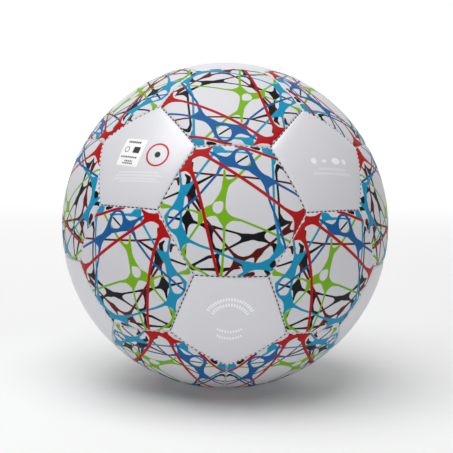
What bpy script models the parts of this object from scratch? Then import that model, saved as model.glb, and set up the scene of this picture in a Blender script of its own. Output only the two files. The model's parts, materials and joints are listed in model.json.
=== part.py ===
"""A stitched soccer ball: thirty-two laminated panels sewn round an inflated bladder with a valve.

The seams follow the edges of a truncated icosahedron. The origin is the ball's centre, +Z runs up
through the valve, and -Y faces the front, where one hexagon panel looks out just above the middle.
"""

import math

import bmesh
import bpy
from mathutils import Matrix

# The ball and its panels, in metres.
BALL_RADIUS = 0.110
LAMINATE_THICKNESS = 0.0026
FLANGE_DEPTH = 0.0062
SHOULDER_RADIUS = 0.0018
SEAM_GAP = 0.0003
CLEARANCE = 0.0003

# The sewing thread that lies in the seams.
THREAD_RADIUS = 0.00045
THREAD_CLEARANCE = 0.0001

# The bladder and its valve.
BLADDER_WALL = 0.0012
PATCH_RADIUS = 0.014
PATCH_THICKNESS = 0.0007
HOUSING_FLANGE_RADIUS = 0.0115
HOUSING_NECK_RADIUS = 0.0046
HOUSING_STEM_RADIUS = 0.0060
HOUSING_LENGTH = 0.0215
HOUSING_RECESS = 0.0004
CORE_HEAD_RADIUS = 0.0034
CORE_HEAD_THICKNESS = 0.0016
CORE_SHAFT_RADIUS = 0.0024
CORE_LENGTH = 0.0180
CORE_RECESS = 0.0003
CORE_CLEARANCE = 0.0002
NEEDLE_BORE_RADIUS = 0.0006

# How finely the round shapes are divided.
PANEL_RUNS = 3
SHOULDER_SEGMENTS = 2
BLADDER_SUBDIVISIONS = 4
TURNED_STEPS = 20
ARC_STEPS = 3
THREAD_SIDES = 6

# A seam's thread is this much slimmer where it starts inside the ring that it joins.
SPOKE_SLIMMING = 0.92

# A truncated icosahedron's edge follows from its corners' radius by the golden ratio, and a panel's
# flat facets lie inside their sphere by up to the depth of a triangle whose sides are one run long.
GOLDEN_RATIO = (1 + math.sqrt(5)) / 2
PANEL_EDGE = 2 * BALL_RADIUS / math.sqrt(1 + 9 * GOLDEN_RATIO**2)
FACET_SAGITTA = (PANEL_EDGE / PANEL_RUNS) ** 2 / (6 * BALL_RADIUS)

# The layers under the valve panel, from the outside in.
LINING_RADIUS = BALL_RADIUS - LAMINATE_THICKNESS - FACET_SAGITTA
PATCH_OUTER = LINING_RADIUS - CLEARANCE
PATCH_INNER = PATCH_OUTER - PATCH_THICKNESS
HOUSING_FLANGE_OUTER = PATCH_INNER - CLEARANCE
BLADDER_RADIUS = BALL_RADIUS - FLANGE_DEPTH - FACET_SAGITTA - CLEARANCE
HOUSING_FLANGE_INNER = BLADDER_RADIUS + CLEARANCE

# Heights on the valve's axis.
HOUSING_TOP = BALL_RADIUS - FACET_SAGITTA - HOUSING_RECESS
HOUSING_BOTTOM = HOUSING_TOP - HOUSING_LENGTH
CORE_TOP = HOUSING_TOP - CORE_RECESS
CORE_BOTTOM = CORE_TOP - CORE_LENGTH
CORE_SHOULDER = CORE_TOP - CORE_HEAD_THICKNESS
HEAD_SEAT = CORE_SHOULDER - CLEARANCE
VALVE_HOLE_RADIUS = HOUSING_NECK_RADIUS + CLEARANCE

COVER_SILVER = (0.70, 0.70, 0.72, 1)
COVER_PRINTED = (0.82, 0.83, 0.86, 1)
THREAD_DARK = (0.035, 0.035, 0.04, 1)
BLADDER_BLACK = (0.02, 0.02, 0.022, 1)
VALVE_GREY = (0.10, 0.10, 0.11, 1)
CORE_BLACK = (0.015, 0.015, 0.017, 1)
PATCH_CLOTH = (0.55, 0.53, 0.48, 1)


def clear_scene():
    for old in list(bpy.data.objects):
        bpy.data.objects.remove(old, do_unlink=True)


def new_collection(name):
    collection = bpy.data.collections.new(name)
    bpy.context.scene.collection.children.link(collection)
    return collection


def new_material(name, colour, roughness, metallic=0.0):
    material = bpy.data.materials.new(name)
    material.use_nodes = True
    surface = material.node_tree.nodes["Principled BSDF"]
    surface.inputs["Base Color"].default_value = colour
    surface.inputs["Roughness"].default_value = roughness
    surface.inputs["Metallic"].default_value = metallic
    return material


def object_from(name, shape, material, collection):
    """Turns a bmesh into a named object and frees it."""
    mesh = bpy.data.meshes.new(name)
    shape.to_mesh(mesh)
    shape.free()
    made = bpy.data.objects.new(name, mesh)
    if material:
        mesh.materials.append(material)
    collection.objects.link(made)
    return made


def shade(made, angle=math.radians(35)):
    made.data.shade_smooth()
    made.data.set_sharp_from_angle(angle=angle)


def cut(made, cutter):
    """Takes the cutter's volume out of the object."""
    boolean = made.modifiers.new("cut_" + cutter.name, "BOOLEAN")
    boolean.operation = "DIFFERENCE"
    boolean.object = cutter


def make_cutter(name, radius, low, high):
    """An upright cylinder on the valve's axis, from one height to the other."""
    shape = bmesh.new()
    bmesh.ops.create_cone(
        shape,
        cap_ends=True,
        segments=TURNED_STEPS,
        radius1=radius,
        radius2=radius,
        depth=high - low,
        matrix=Matrix.Translation((0, 0, (low + high) / 2)),
    )
    cutter = object_from(name, shape, None, cutters)
    cutter.display_type = "WIRE"
    cutter.hide_render = True
    return cutter


def make_cage():
    """The truncated icosahedron of the seams, with its corners on the ball's sphere."""
    cage = bmesh.new()
    bmesh.ops.create_icosphere(cage, subdivisions=1, radius=1.0)
    third = cage.edges[:][0].calc_length() / 3
    bmesh.ops.bevel(
        cage,
        geom=cage.verts[:],
        offset=third,
        offset_type="OFFSET",
        segments=1,
        profile=0.5,
        affect="VERTICES",
        material=-1,
    )
    for corner in cage.verts:
        corner.co = corner.co.normalized() * BALL_RADIUS
    # A hexagon just above the middle turns to face the front.
    band = [
        face.calc_center_median()
        for face in cage.faces
        if len(face.verts) == 6 and 0 < face.calc_center_median().z < BALL_RADIUS / 2
    ]
    first = min(band, key=lambda centre: math.atan2(centre.y, centre.x))
    turn = -math.pi / 2 - math.atan2(first.y, first.x)
    bmesh.ops.rotate(cage, verts=cage.verts[:], matrix=Matrix.Rotation(turn, 3, "Z"))
    cage.normal_update()
    return cage


def from_the_top(point):
    """A sorting key: from the top down, and from the front round to the right on each level."""
    turn = (math.atan2(point.y, point.x) + math.pi / 2) % (2 * math.pi)
    return -round(point.z / BALL_RADIUS, 3), round(turn, 3) % round(2 * math.pi, 3)


def on_sphere(point, radius):
    return point.normalized() * radius


def make_panel(name, corners, material):
    """One panel: a laminate whose rounded edges turn in to a flange all round."""
    shape = bmesh.new()
    face = shape.faces.new([shape.verts.new(corner) for corner in corners])
    face.normal_update()
    bmesh.ops.inset_region(
        shape, faces=[face], thickness=SEAM_GAP / 2, use_boundary=True, use_even_offset=True
    )
    rim = [other for other in shape.faces if other is not face]
    bmesh.ops.delete(shape, geom=rim, context="FACES")
    bmesh.ops.poke(shape, faces=[face])
    bmesh.ops.subdivide_edges(shape, edges=shape.edges[:], cuts=PANEL_RUNS - 1, use_grid_fill=True)
    for corner in shape.verts:
        corner.co = on_sphere(corner.co, BALL_RADIUS)
    border = [edge for edge in shape.edges if edge.is_boundary]
    skirt = bmesh.ops.extrude_edge_only(shape, edges=border)["geom"]
    for corner in skirt:
        if isinstance(corner, bmesh.types.BMVert):
            corner.co = on_sphere(corner.co, BALL_RADIUS - FLANGE_DEPTH)
    bmesh.ops.recalc_face_normals(shape, faces=shape.faces[:])
    bmesh.ops.solidify(shape, geom=shape.faces[:], thickness=LAMINATE_THICKNESS)
    shape.normal_update()
    shoulder = [
        edge
        for edge in shape.edges
        if min(end.co.length for end in edge.verts) > BALL_RADIUS - SEAM_GAP
        and edge.calc_face_angle() > math.pi / 3
    ]
    bmesh.ops.bevel(
        shape,
        geom=shoulder,
        offset=SHOULDER_RADIUS,
        offset_type="OFFSET",
        segments=SHOULDER_SEGMENTS,
        profile=0.5,
        affect="EDGES",
        material=-1,
    )
    panel = object_from(name, shape, material, ball)
    shade(panel)
    return panel


def thread_depth():
    """How far the thread's centre lies under the ball's surface to clear both rounded shoulders."""
    reach = SHOULDER_RADIUS + THREAD_RADIUS + THREAD_CLEARANCE
    across = SHOULDER_RADIUS + SEAM_GAP / 2
    return SHOULDER_RADIUS - math.sqrt(reach**2 - across**2)


def seam_points(start, end, radius, stop_short=0.0):
    """The points of one seam, at the same fractions as the panels' edges."""
    points = [on_sphere(start.lerp(end, step / PANEL_RUNS), radius) for step in range(PANEL_RUNS + 1)]
    if stop_short:
        last_run = points[-1] - points[-2]
        points[-1] = points[-1] - last_run.normalized() * stop_short
    return points


def make_tube(name, points, radius, closed, collection):
    """A round mesh tube through the points, with capped ends unless it closes on itself."""
    curve = bpy.data.curves.new(name, "CURVE")
    curve.dimensions = "3D"
    curve.bevel_depth = radius
    curve.bevel_resolution = THREAD_SIDES // 2 - 2
    curve.use_fill_caps = True
    spline = curve.splines.new("POLY")
    spline.points.add(len(points) - 1)
    for knot, point in zip(spline.points, points):
        knot.co = (*point, 1)
    spline.use_cyclic_u = closed
    guide = bpy.data.objects.new(name + "_guide", curve)
    collection.objects.link(guide)
    bpy.context.view_layer.update()
    mesh = bpy.data.meshes.new_from_object(guide.evaluated_get(bpy.context.evaluated_depsgraph_get()))
    bpy.data.objects.remove(guide, do_unlink=True)
    shape = bmesh.new()
    shape.from_mesh(mesh)
    bpy.data.meshes.remove(mesh)
    bmesh.ops.remove_doubles(shape, verts=shape.verts[:], dist=radius / 100)
    bmesh.ops.recalc_face_normals(shape, faces=shape.faces[:])
    return object_from(name, shape, None, collection)


def make_thread(name, ring, spokes, material):
    """One run of thread: round a pentagon, and out along some of the seams from its corners."""
    radius = BALL_RADIUS - thread_depth()
    loop = []
    for index, corner in enumerate(ring):
        loop += seam_points(corner, ring[(index + 1) % len(ring)], radius)[:-1]
    thread = make_tube(name, loop, THREAD_RADIUS, True, ball)
    thread.data.materials.append(material)
    for number, (start, end) in enumerate(spokes, 1):
        points = seam_points(start, end, radius, stop_short=2 * THREAD_RADIUS + CLEARANCE)
        spoke = make_tube(f"{name}_spoke_{number}", points, THREAD_RADIUS * SPOKE_SLIMMING, False, cutters)
        spoke.display_type = "WIRE"
        spoke.hide_render = True
        union = thread.modifiers.new(spoke.name, "BOOLEAN")
        union.operation = "UNION"
        union.object = spoke
    thread.data.shade_smooth()


def turned(name, profile, material):
    """A piece turned on the valve's axis from a closed outline of (radius, height) points."""
    shape = bmesh.new()
    points = [shape.verts.new((radius, 0, height)) for radius, height in profile]
    for near, far in zip(points, points[1:] + points[:1]):
        shape.edges.new((near, far))
    piece = object_from(name, shape, material, ball)
    screw = piece.modifiers.new("turned", "SCREW")
    screw.axis = "Z"
    screw.angle = 2 * math.pi
    screw.steps = TURNED_STEPS
    screw.render_steps = TURNED_STEPS
    screw.use_merge_vertices = True
    screw.merge_threshold = 1e-5
    return piece


def dished(radius, inner, outer):
    """Points on a sphere of the given radius, from one distance off the axis to another."""
    spread = [inner + (outer - inner) * step / ARC_STEPS for step in range(ARC_STEPS + 1)]
    return [(off_axis, math.sqrt(radius**2 - off_axis**2)) for off_axis in spread]


def make_patch(material):
    """The cloth ring bonded inside the valve panel round its hole."""
    top = dished(PATCH_OUTER, VALVE_HOLE_RADIUS, PATCH_RADIUS)
    bottom = dished(PATCH_INNER, PATCH_RADIUS, VALVE_HOLE_RADIUS)
    turned("valve_patch", top + bottom, material)


def make_housing(material):
    """The valve's rubber body: a neck in the panel's hole, a dished flange and a stem."""
    flange_top = dished(HOUSING_FLANGE_OUTER, HOUSING_NECK_RADIUS, HOUSING_FLANGE_RADIUS)
    flange_bottom = dished(HOUSING_FLANGE_INNER, HOUSING_FLANGE_RADIUS, HOUSING_STEM_RADIUS)
    bore = CORE_SHAFT_RADIUS + CORE_CLEARANCE
    counterbore = CORE_HEAD_RADIUS + CORE_CLEARANCE
    outline = [(counterbore, HOUSING_TOP), (HOUSING_NECK_RADIUS, HOUSING_TOP)]
    outline += flange_top + flange_bottom
    outline += [(HOUSING_STEM_RADIUS, HOUSING_BOTTOM), (bore, HOUSING_BOTTOM)]
    outline += [(bore, HEAD_SEAT), (counterbore, HEAD_SEAT)]
    turned("valve_housing", outline, material)


def make_core(material):
    """The plug that seals the valve: a flat head, a shaft and a fine bore for the pump's needle."""
    outline = [
        (NEEDLE_BORE_RADIUS, CORE_TOP),
        (CORE_HEAD_RADIUS, CORE_TOP),
        (CORE_HEAD_RADIUS, CORE_SHOULDER),
        (CORE_SHAFT_RADIUS, CORE_SHOULDER),
        (CORE_SHAFT_RADIUS, CORE_BOTTOM),
        (NEEDLE_BORE_RADIUS, CORE_BOTTOM),
    ]
    turned("valve_core", outline, material)


def make_bladder(material):
    """The inflated rubber shell, open only where the valve's stem passes."""
    shape = bmesh.new()
    bmesh.ops.create_icosphere(shape, subdivisions=BLADDER_SUBDIVISIONS, radius=BLADDER_RADIUS)
    bladder = object_from("bladder", shape, material, ball)
    wall = bladder.modifiers.new("wall", "SOLIDIFY")
    wall.thickness = BLADDER_WALL
    wall.offset = -1
    opening = make_cutter(
        "bladder_opening", HOUSING_STEM_RADIUS + CLEARANCE, HOUSING_BOTTOM, HOUSING_TOP
    )
    cut(bladder, opening)
    bladder.data.shade_smooth()


def make_panels(cage):
    """Every panel is numbered from the top, and the first pentagon is cut for the valve."""
    silver = new_material("cover_silver", COVER_SILVER, 0.42)
    printed = new_material("cover_printed", COVER_PRINTED, 0.38)
    kinds = {5: ("pentagon_panel", silver), 6: ("hexagon_panel", printed)}
    for sides, (stem, material) in kinds.items():
        faces = [face for face in cage.faces if len(face.verts) == sides]
        faces.sort(key=lambda face: from_the_top(face.calc_center_median()))
        for number, face in enumerate(faces, 1):
            corners = [corner.co.copy() for corner in face.verts]
            panel = make_panel(f"{stem}_{number:02d}", corners, material)
            if sides == 5 and number == 1:
                hole = make_cutter(
                    "valve_hole", VALVE_HOLE_RADIUS, BALL_RADIUS / 2, BALL_RADIUS + FLANGE_DEPTH
                )
                cut(panel, hole)


def make_threads(cage):
    """Twelve runs of thread cover the sixty seams round pentagons and the thirty between hexagons."""
    material = new_material("thread_dark", THREAD_DARK, 0.6)
    pentagons = [face for face in cage.faces if len(face.verts) == 5]
    pentagons.sort(key=lambda face: from_the_top(face.calc_center_median()))
    home = {corner: number for number, face in enumerate(pentagons) for corner in face.verts}
    spokes = [[] for _ in pentagons]
    for edge in cage.edges:
        ends = sorted(edge.verts, key=lambda corner: home[corner])
        if home[ends[0]] == home[ends[1]]:
            continue
        start, end = sorted(ends, key=lambda corner: len(spokes[home[corner]]))
        spokes[home[start]].append((start.co.copy(), end.co.copy()))
    for number, face in enumerate(pentagons):
        ring = [corner.co.copy() for corner in face.verts]
        make_thread(f"stitching_{number + 1:02d}", ring, spokes[number], material)


clear_scene()
ball = new_collection("soccer_ball")
cutters = new_collection("cutters")
seams = make_cage()
make_panels(seams)
make_threads(seams)
seams.free()
make_bladder(new_material("bladder_rubber", BLADDER_BLACK, 0.55))
make_patch(new_material("patch_cloth", PATCH_CLOTH, 0.9))
make_housing(new_material("valve_rubber", VALVE_GREY, 0.5))
make_core(new_material("core_rubber", CORE_BLACK, 0.45))
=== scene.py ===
# %% [markdown]
# # A stitched soccer ball
#
# A match ball is thirty-two flat panels of laminated cloth, twelve of them pentagons and twenty of
# them hexagons, sewn edge to edge from the inside and blown up round by a rubber bladder. The frame
# loaded here holds those pieces as plain working solids. This lesson gives each one its real skin:
# puffed panels that turn in to a seam, the thread that shows in it, a printed web of strands, and a
# turned rubber valve. The solids are never moved: every piece below takes its place from them.

# %% The frame
import json
import math

import bmesh
import bpy
from mathutils import Matrix, Vector, kdtree


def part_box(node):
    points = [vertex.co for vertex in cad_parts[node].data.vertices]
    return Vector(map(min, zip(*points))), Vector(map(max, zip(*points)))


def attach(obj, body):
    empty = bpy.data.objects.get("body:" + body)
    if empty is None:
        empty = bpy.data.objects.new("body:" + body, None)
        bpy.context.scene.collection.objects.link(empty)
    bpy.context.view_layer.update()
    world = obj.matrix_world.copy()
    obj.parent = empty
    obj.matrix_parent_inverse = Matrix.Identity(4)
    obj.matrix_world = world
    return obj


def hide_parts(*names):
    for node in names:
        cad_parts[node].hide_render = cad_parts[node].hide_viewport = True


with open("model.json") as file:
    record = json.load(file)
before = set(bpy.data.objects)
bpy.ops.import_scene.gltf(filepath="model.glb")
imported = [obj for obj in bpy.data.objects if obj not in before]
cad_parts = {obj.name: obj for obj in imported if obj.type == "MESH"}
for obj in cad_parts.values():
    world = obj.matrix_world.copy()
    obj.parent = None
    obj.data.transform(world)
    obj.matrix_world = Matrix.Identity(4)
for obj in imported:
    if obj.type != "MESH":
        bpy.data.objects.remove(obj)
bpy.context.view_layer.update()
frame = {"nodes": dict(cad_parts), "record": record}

MILLIMETRE = 0.001
ground = next(mount for mount in frame["record"]["mounts"] if mount["name"] == "ground_contact")
BALL_RADIUS = -ground["pos_m"][2]
print(f"ball radius {BALL_RADIUS / MILLIMETRE:.0f} mm, {len(frame['nodes'])} solids in the frame")

# %% [markdown]
# ## Turning a shape into a piece
#
# Each piece is modelled as a bmesh, in place, and then becomes an object at the origin that rides on
# one of the frame's bodies. The solid that it stands for is hidden.

# %% From a shape to a piece
SHARP_ANGLE = math.radians(50)


def make_piece(name, shape, material, body, slot, *nodes):
    """Makes an object of the shape, which rides on the body and stands for the nodes."""
    mesh = bpy.data.meshes.new(name)
    shape.to_mesh(mesh)
    shape.free()
    mesh.materials.append(material)
    mesh.shade_smooth()
    mesh.set_sharp_from_angle(angle=SHARP_ANGLE)
    piece = bpy.data.objects.new(name, mesh)
    bpy.context.scene.collection.objects.link(piece)
    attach(piece, body)
    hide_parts(*nodes)
    return piece


def middle_of_node(name):
    low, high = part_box(name)
    return (low + high) / 2


# %% [markdown]
# ## Shader maths as plain expressions
#
# A procedural finish is mostly arithmetic: how far is this point from that line, and which of two
# colours wins there. Wiring each sum by hand hides the idea, so a small class stands for a socket
# and turns +, -, * and / into Math nodes. Everything else goes through its one method, node.
# Nodes are made in the order in which they are worked out, which keeps a large shader light.

# %% One class for sockets
class Wire:
    """An output socket of a material, which takes part in Python expressions."""

    def __init__(self, tree, socket=None):
        self.tree = tree
        self.socket = socket

    def node(self, kind, settings=None, inputs=None, output=0):
        """Adds a node: its settings first, then the values or links of its input sockets."""
        made = self.tree.nodes.new("ShaderNode" + kind)
        for name, value in (settings or {}).items():
            setattr(made, name, value)
        for key, value in (inputs or {}).items():
            if isinstance(value, Wire):
                self.tree.links.new(value.socket, made.inputs[key])
            else:
                made.inputs[key].default_value = value
        return Wire(self.tree, made.outputs[output] if made.outputs else None)

    def math(self, operation, *others):
        return self.node("Math", {"operation": operation}, dict(enumerate((self, *others))))

    def flipped(self, operation, other):
        return self.node("Math", {"operation": operation}, {0: other, 1: self})

    def __add__(self, other):
        return self.math("ADD", other)

    def __sub__(self, other):
        return self.math("SUBTRACT", other)

    def __rsub__(self, other):
        return self.flipped("SUBTRACT", other)

    def __mul__(self, other):
        return self.math("MULTIPLY", other)

    def __truediv__(self, other):
        return self.math("DIVIDE", other)

    __radd__ = __add__
    __rmul__ = __mul__

    def clamped(self):
        return self.node("Clamp", {}, {0: self})

    def vector(self, operation, *others, output=0):
        return self.node("VectorMath", {"operation": operation}, dict(enumerate((self, *others))), output)

    def scaled(self, factor):
        return self.node("VectorMath", {"operation": "SCALE"}, {0: self, 3: factor})

    def mixed(self, mask, other):
        """This colour, with another one where the mask is 1."""
        return self.node("Mix", {"data_type": "RGBA"}, {0: mask, 6: self, 7: other}, 2)


def new_shader(name):
    """An empty material, and a wire that adds nodes to it."""
    material = bpy.data.materials.new(name)
    material.use_nodes = True
    material.node_tree.nodes.clear()
    return material, Wire(material.node_tree)


def finish_shader(start, **sockets):
    """Adds the Principled BSDF and the output. Underscores in a socket's name stand for spaces."""
    inputs = {name.replace("_", " "): value for name, value in sockets.items()}
    surface = start.node("BsdfPrincipled", {}, inputs)
    start.node("OutputMaterial", {}, {"Surface": surface})


def noise(start, place, scale, detail=2.0, roughness=0.5):
    return start.node(
        "TexNoise", {}, {"Vector": place, "Scale": scale, "Detail": detail, "Roughness": roughness}
    )


# %% [markdown]
# ## The net of seams
#
# Ninety seams follow the edges of a truncated icosahedron. Cutting the corners off an icosahedron
# a third of the way along its edges gives it, so it starts from an icosphere and one vertex bevel.
# It is turned until a hexagon just above the middle faces the front, as the solids are.

# %% The cage
def make_cage():
    """The truncated icosahedron of the seams, with its corners on the ball's sphere."""
    cage = bmesh.new()
    bmesh.ops.create_icosphere(cage, subdivisions=1, radius=1.0)
    third = cage.edges[:][0].calc_length() / 3
    bmesh.ops.bevel(
        cage,
        geom=cage.verts[:],
        offset=third,
        offset_type="OFFSET",
        segments=1,
        profile=0.5,
        affect="VERTICES",
        material=-1,
    )
    for corner in cage.verts:
        corner.co = corner.co.normalized() * BALL_RADIUS
    band = [
        face.calc_center_median()
        for face in cage.faces
        if len(face.verts) == 6 and 0 < face.calc_center_median().z < BALL_RADIUS / 2
    ]
    first = min(band, key=lambda centre: math.atan2(centre.y, centre.x))
    turn = -math.pi / 2 - math.atan2(first.y, first.x)
    bmesh.ops.rotate(cage, verts=cage.verts[:], matrix=Matrix.Rotation(turn, 3, "Z"))
    cage.normal_update()
    return cage


cage = make_cage()
EDGE = cage.edges[:][0].calc_length()
panel_nodes = [name for name in frame["nodes"] if "_panel_" in name]
print(f"{len(cage.faces)} panels, {len(cage.edges)} seams of {EDGE / MILLIMETRE:.1f} mm")

# %% [markdown]
# ## How a panel meets its seam
#
# A sewn panel isn't a piece of a sphere. Air pushes its middle out and thread pulls its edge in, so
# it falls away softly over the last few millimetres and then turns sharply down into the seam. Each
# stitch draws the two edges down and apart again at its hole. These three shapes are added up in one
# depth under the sphere, which depends on the distance from the seam and the place along it.

# %% The fall towards a seam
PUFF_REACH = 6.5 * MILLIMETRE
PUFF_DEPTH = 0.55 * MILLIMETRE
EDGE_ROUNDING = 0.75 * MILLIMETRE
STITCH_PULL = 0.50 * MILLIMETRE
STITCH_PULL_REACH = 0.9 * MILLIMETRE
STITCH_HOLE = 0.22 * MILLIMETRE
STITCHES = 14
STEPS_A_STITCH = 4
SEAM_DISTANCES = [5.0, 3.8, 2.8, 2.0, 1.4, 0.95, 0.6, 0.35, 0.17, 0.05]


def stitch_pull(along):
    """From 0 between two stitches to 1 in the middle of one, at a fraction of the seam's length."""
    return 0.5 - 0.5 * math.cos(2 * math.pi * STITCHES * along)


def rounded(distance):
    """The fall of a quarter round at a distance from the edge that it turns down at."""
    inset = min(EDGE_ROUNDING, max(0, EDGE_ROUNDING - distance))
    return EDGE_ROUNDING - math.sqrt(EDGE_ROUNDING**2 - inset**2)


def fall(distance, along):
    """How far the cover lies under the ball's sphere."""
    puff = PUFF_DEPTH * max(0, 1 - distance / PUFF_REACH) ** 2
    pull = STITCH_PULL * stitch_pull(along) * math.exp(-((distance / STITCH_PULL_REACH) ** 2))
    return puff + rounded(distance) + pull


print(f"the cover falls {fall(0.0, 0.0) / MILLIMETRE:.2f} mm into a seam")

# %% [markdown]
# ## One panel
#
# A panel is laid out flat first, in its own plane with X to its right and Y up, and with Z as height
# over the ball's sphere. The flat gives it a map for its print for nothing. A poked and subdivided
# polygon makes the middle, rings extruded from its border make the edge, and more rings make the
# flange that turns in, its hem and the lining. Last, each point goes out to the sphere.

# %% Laying a panel out flat
LAMINATE = 2.4 * MILLIMETRE
FLANGE_DEPTH = 5.2 * MILLIMETRE
MIDDLE_RUNS = 14
LINING_STEPS = 3
PLANE_MAP = "panel_plane"
SEAM_LAYER = "seam_distance"


class Flat:
    """A panel's plane: where it lies, which way it faces, and where a point is along its seams."""

    def __init__(self, corners):
        self.middle = sum(corners, Vector()) / len(corners)
        self.outward = self.middle.normalized()
        pole = abs(self.outward.z) > 0.99
        upward = Vector((0, 1, 0)) if pole else Vector((0, 0, 1))
        self.up = (upward - self.outward * upward.dot(self.outward)).normalized()
        self.right = self.up.cross(self.outward)
        self.corners = [self.flattened(corner) for corner in corners]
        halves = [(a + b) / 2 for a, b in zip(self.corners, self.corners[1:] + self.corners[:1])]
        self.reach = halves[0].length
        self.sides = [half.normalized() for half in halves]

    def flattened(self, point):
        offset = point - self.middle
        return Vector((offset.dot(self.right), offset.dot(self.up), 0))

    def seam_place(self, point):
        """The distance to the nearest seam, and the fraction of the way along it."""
        flat = Vector((point.x, point.y, 0))
        side = max(self.sides, key=flat.dot)
        outward = flat.dot(side)
        sideways = flat.dot(Vector((-side.y, side.x, 0)))
        return self.reach - outward, 0.5 + sideways / EDGE * self.reach / max(outward, EDGE / 20)

    def on_ball(self, point):
        """The point of the ball over a point of the flat, whose Z is its height over the sphere."""
        far = self.middle + self.right * point.x + self.up * point.y
        return far.normalized() * (BALL_RADIUS + point.z)


def border_of(shape):
    return [edge for edge in shape.edges if edge.is_boundary]


def extrude_border(shape, edges, place):
    """Extrudes open edges, puts each new corner where place says, and returns the new edges."""
    made = bmesh.ops.extrude_edge_only(shape, edges=edges)["geom"]
    corners = [item for item in made if isinstance(item, bmesh.types.BMVert)]
    for corner in corners:
        corner.co = place(corner.co)
    fresh = set(corners)
    return [
        item for item in made if isinstance(item, bmesh.types.BMEdge) and fresh.issuperset(item.verts)
    ]


def ring_at(flat, before, distance, height=None):
    """A place for extrude_border: the same ring, at another distance from the seams."""
    factor = (flat.reach - distance) / (flat.reach - before)

    def place(point):
        return Vector((point.x * factor, point.y * factor, point.z if height is None else height))

    return place


# %% Its middle, with or without the valve's hole
VALVE_HOLE_RADIUS = 4.9 * MILLIMETRE
HOLE_STEPS = 12


def panel_middle(flat):
    """A triangular grid that ends where the fall towards the seams starts."""
    shape = bmesh.new()
    share = 1 - PUFF_REACH / flat.reach
    face = shape.faces.new([shape.verts.new(corner * share) for corner in flat.corners])
    bmesh.ops.poke(shape, faces=[face])
    bmesh.ops.subdivide_edges(shape, edges=shape.edges[:], cuts=MIDDLE_RUNS - 1, use_grid_fill=True)
    bmesh.ops.subdivide_edges(shape, edges=border_of(shape), cuts=STEPS_A_STITCH - 1)
    return shape


def panel_middle_with_hole(flat):
    """Rings that run from a pentagon in to the round hole for the valve."""
    shape = bmesh.new()
    share = 1 - PUFF_REACH / flat.reach
    face = shape.faces.new([shape.verts.new(corner * share) for corner in flat.corners])
    bmesh.ops.delete(shape, geom=[face], context="FACES_ONLY")
    bmesh.ops.subdivide_edges(shape, edges=shape.edges[:], cuts=STITCHES * STEPS_A_STITCH - 1)
    ring = shape.edges[:]
    for step in range(HOLE_STEPS):
        left = HOLE_STEPS - step

        def place(point, left=left):
            return point.lerp(point.normalized() * VALVE_HOLE_RADIUS, 1 / left)

        ring = extrude_border(shape, ring, place)
    return shape


# %% The whole panel
def make_panel(face, turn, mirrored, holed):
    """One panel of the cover as a closed shape, with a map of its plane."""
    flat = Flat([corner.co for corner in face.verts])
    shape = panel_middle_with_hole(flat) if holed else panel_middle(flat)
    size = flat.reach
    outer = [edge for edge in border_of(shape) if min(end.co.length for end in edge.verts) > size / 2]
    before = PUFF_REACH
    for distance in [value * MILLIMETRE for value in SEAM_DISTANCES]:
        outer = extrude_border(shape, outer, ring_at(flat, before, distance))
        before = distance
    layer = shape.verts.layers.float.new(SEAM_LAYER)
    for corner in shape.verts:
        distance, along = flat.seam_place(corner.co)
        corner[layer] = distance
        gape = STITCH_HOLE * stitch_pull(along) * math.exp(-((distance / STITCH_PULL_REACH) ** 2))
        depth = fall(distance, along)
        if holed:
            depth += rounded(corner.co.length - VALVE_HOLE_RADIUS)
        if distance < PUFF_REACH:
            corner.co *= 1 - gape / flat.reach
        corner.co.z = -depth
    print_map = shape.loops.layers.uv.new(PLANE_MAP)
    inner = [edge for edge in border_of(shape) if edge not in set(outer)]
    outer = extrude_border(shape, outer, ring_at(flat, before, before, -FLANGE_DEPTH))
    outer = extrude_border(shape, outer, ring_at(flat, before, LAMINATE, -FLANGE_DEPTH))
    outer = extrude_border(shape, outer, ring_at(flat, LAMINATE, LAMINATE, -LAMINATE))
    if holed:
        inner = extrude_border(shape, inner, lambda point: Vector((point.x, point.y, -LAMINATE)))
        bmesh.ops.bridge_loops(shape, edges=outer + inner)
    else:
        for step in range(LINING_STEPS):
            share = 1 - 1 / (LINING_STEPS + 1 - step)
            outer = extrude_border(
                shape, outer, lambda point, share=share: Vector((point.x * share, point.y * share, point.z))
            )
        lining = bmesh.ops.contextual_create(shape, geom=outer)["faces"]
        bmesh.ops.poke(shape, faces=lining)
    unturn = Matrix.Rotation(-turn, 3, "Z")
    for panel_face in shape.faces:
        for loop in panel_face.loops:
            point = unturn @ loop.vert.co
            loop[print_map].uv = (-point.x if mirrored else point.x) / EDGE, point.y / EDGE
    for corner in shape.verts:
        corner.co = flat.on_ball(corner.co)
    bmesh.ops.remove_doubles(shape, verts=shape.verts[:], dist=MILLIMETRE / 1000)
    bmesh.ops.recalc_face_normals(shape, faces=shape.faces[:])
    return shape


# %% [markdown]
# ## The finish of the cover
#
# The cover is a laminate with a thin coat of polyurethane: smooth, a little pearly, with a fine
# grain pressed into it. All panels share that coat. Ink lies under its gloss, so a print changes the
# colour and nothing else. The cut edge of a panel isn't printed and shows as a pale line in the seam.

# %% The coat
COAT_COLOUR = (0.66, 0.66, 0.69, 1)
CUT_EDGE_COLOUR = (0.84, 0.84, 0.86, 1)
CUT_EDGE_WIDTH = 0.45 * MILLIMETRE
CUT_EDGE_SHARPNESS = 2.5
GRAIN_SCALE = 1600.0
GRAIN_SHARE = 0.6
GRAIN_STRENGTH = 0.22
GRAIN_DEPTH = 0.12 * MILLIMETRE
CLOUD_SCALE = 28.0
DUST_COLOUR = (0.42, 0.42, 0.43, 1)
DUST_START = 0.47
DUST_STRENGTH = 0.10
GLOSS_VARIATION = 0.16
COAT_SPECULAR = 0.12


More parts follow.
